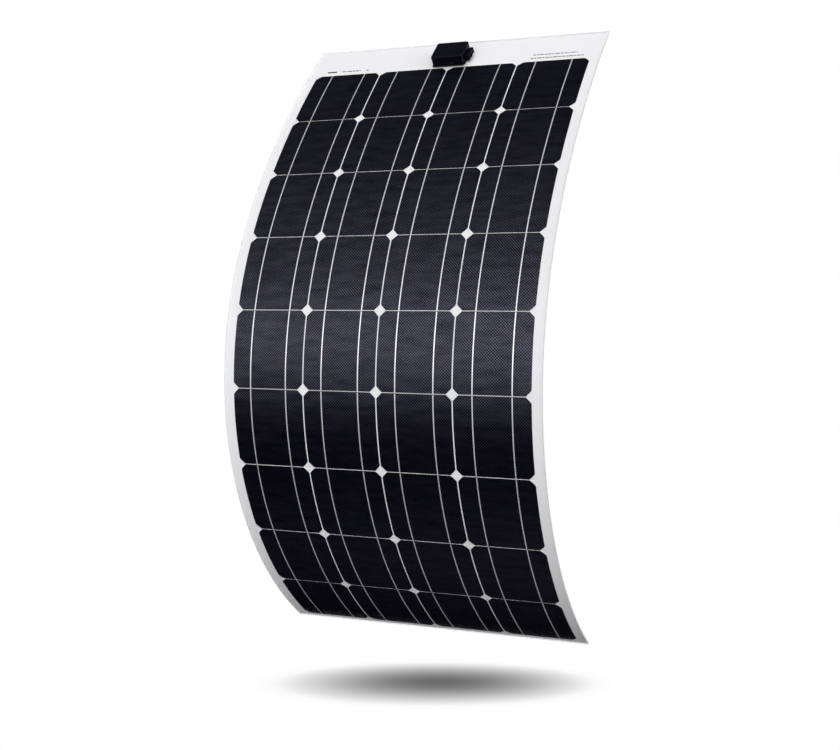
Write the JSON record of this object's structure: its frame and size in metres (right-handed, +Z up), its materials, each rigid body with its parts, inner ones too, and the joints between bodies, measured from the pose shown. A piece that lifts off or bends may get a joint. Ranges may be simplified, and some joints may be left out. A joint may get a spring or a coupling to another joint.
{
  "type": "flexible solar sheet",
  "caption": "Thin flexible solar sheet, bent along its length: rows of dark cut-corner cells between a white back sheet and a clear film, with a black junction box on its top margin.",
  "frame": {"origin": "centre of the back face of the middle row of cells", "axes": "+X along a row of cells to the viewer's right, +Y out of the back face of the middle row, +Z up the sheet at the middle row towards the junction box"},
  "size_m": [0.54, 0.3156, 1.0273],
  "materials": {
    "back_sheet": "satin white polyester laminate",
    "front_film": "clear embossed polymer film, softly glossy",
    "cell": "blue-black textured silicon with an anti-reflection coating",
    "housing": "black moulded plastic, fine grain",
    "rubber": "black matt rubber",
    "terminal": "tin-plated clamps on their strip",
    "diode": "black moulded epoxy"
  },
  "bodies": {
    "row_1": {"back_sheet_row_1": "back_sheet", "cell_r1_c1": "cell", "cell_r1_c2": "cell", "cell_r1_c3": "cell", "cell_r1_c4": "cell", "front_film_row_1": "front_film", "junction_box_base": "housing", "lid_seal": "rubber", "cable_outlet": "rubber", "terminal_strip": "terminal", "bypass_diode": "diode"},
    "row_2": {"back_sheet_row_2": "back_sheet", "cell_r2_c1": "cell", "cell_r2_c2": "cell", "cell_r2_c3": "cell", "cell_r2_c4": "cell", "front_film_row_2": "front_film"},
    "row_3": {"back_sheet_row_3": "back_sheet", "cell_r3_c1": "cell", "cell_r3_c2": "cell", "cell_r3_c3": "cell", "cell_r3_c4": "cell", "front_film_row_3": "front_film"},
    "row_4": {"back_sheet_row_4": "back_sheet", "cell_r4_c1": "cell", "cell_r4_c2": "cell", "cell_r4_c3": "cell", "cell_r4_c4": "cell", "front_film_row_4": "front_film"},
    "row_5": {"back_sheet_row_5": "back_sheet", "cell_r5_c1": "cell", "cell_r5_c2": "cell", "cell_r5_c3": "cell", "cell_r5_c4": "cell", "front_film_row_5": "front_film"},
    "row_6": {"back_sheet_row_6": "back_sheet", "cell_r6_c1": "cell", "cell_r6_c2": "cell", "cell_r6_c3": "cell", "cell_r6_c4": "cell", "front_film_row_6": "front_film"},
    "row_7": {"back_sheet_row_7": "back_sheet", "cell_r7_c1": "cell", "cell_r7_c2": "cell", "cell_r7_c3": "cell", "cell_r7_c4": "cell", "front_film_row_7": "front_film"},
    "row_8": {"back_sheet_row_8": "back_sheet", "cell_r8_c1": "cell", "cell_r8_c2": "cell", "cell_r8_c3": "cell", "cell_r8_c4": "cell", "front_film_row_8": "front_film"},
    "row_9": {"back_sheet_row_9": "back_sheet", "cell_r9_c1": "cell", "cell_r9_c2": "cell", "cell_r9_c3": "cell", "cell_r9_c4": "cell", "front_film_row_9": "front_film"},
    "box_lid": {"junction_box_lid": "housing"}
  },
  "joints": [
    {"name": "bend_row_6", "type": "hinge", "parent": "row_5", "child": "row_6", "pos_m": [0, 0.00228, -0.06358], "axis": [-1, 0, 0], "range_deg": [0, 16.15], "stiffness_Nm_per_rad": 28},
    {"name": "bend_row_4", "type": "hinge", "parent": "row_5", "child": "row_4", "pos_m": [0, 0.00212, 0.06358], "axis": [1, 0, 0], "range_deg": [0, 14.46], "stiffness_Nm_per_rad": 28},
    {"name": "bend_row_3", "type": "hinge", "parent": "row_4", "child": "row_3", "pos_m": [0, 0.03353, 0.18683], "axis": [1, 0, 0], "range_deg": [0, 10.66], "stiffness_Nm_per_rad": 28},
    {"name": "bend_row_2", "type": "hinge", "parent": "row_3", "child": "row_2", "pos_m": [0, 0.08718, 0.30215], "axis": [1, 0, 0], "range_deg": [0, 6.86], "stiffness_Nm_per_rad": 28},
    {"name": "bend_row_1", "type": "hinge", "parent": "row_2", "child": "row_1", "pos_m": [0, 0.15436, 0.4101], "axis": [1, 0, 0], "range_deg": [0, 5.15], "stiffness_Nm_per_rad": 28},
    {"name": "bend_row_7", "type": "hinge", "parent": "row_6", "child": "row_7", "pos_m": [0, 0.03758, -0.18574], "axis": [-1, 0, 0], "range_deg": [0, 15.48], "stiffness_Nm_per_rad": 28},
    {"name": "bend_row_8", "type": "hinge", "parent": "row_7", "child": "row_8", "pos_m": [0, 0.10413, -0.29411], "axis": [-1, 0, 0], "range_deg": [0, 13.85], "stiffness_Nm_per_rad": 28},
    {"name": "bend_row_9", "type": "hinge", "parent": "row_8", "child": "row_9", "pos_m": [0, 0.19468, -0.38344], "axis": [-1, 0, 0], "range_deg": [0, 11.98], "stiffness_Nm_per_rad": 28},
    {"name": "lid_pull", "type": "slide", "parent": "row_1", "child": "box_lid", "axis": [0, -0.7582, 0.652], "range_m": [0, 0.03]}
  ],
  "couplings": [
    {"joint": "bend_row_4", "follows": "bend_row_6", "ratio": 0.8953},
    {"joint": "bend_row_3", "follows": "bend_row_6", "ratio": 0.65968},
    {"joint": "bend_row_2", "follows": "bend_row_6", "ratio": 0.42459},
    {"joint": "bend_row_1", "follows": "bend_row_6", "ratio": 0.31883},
    {"joint": "bend_row_7", "follows": "bend_row_6", "ratio": 0.95857},
    {"joint": "bend_row_8", "follows": "bend_row_6", "ratio": 0.85725},
    {"joint": "bend_row_9", "follows": "bend_row_6", "ratio": 0.74155}
  ]
}
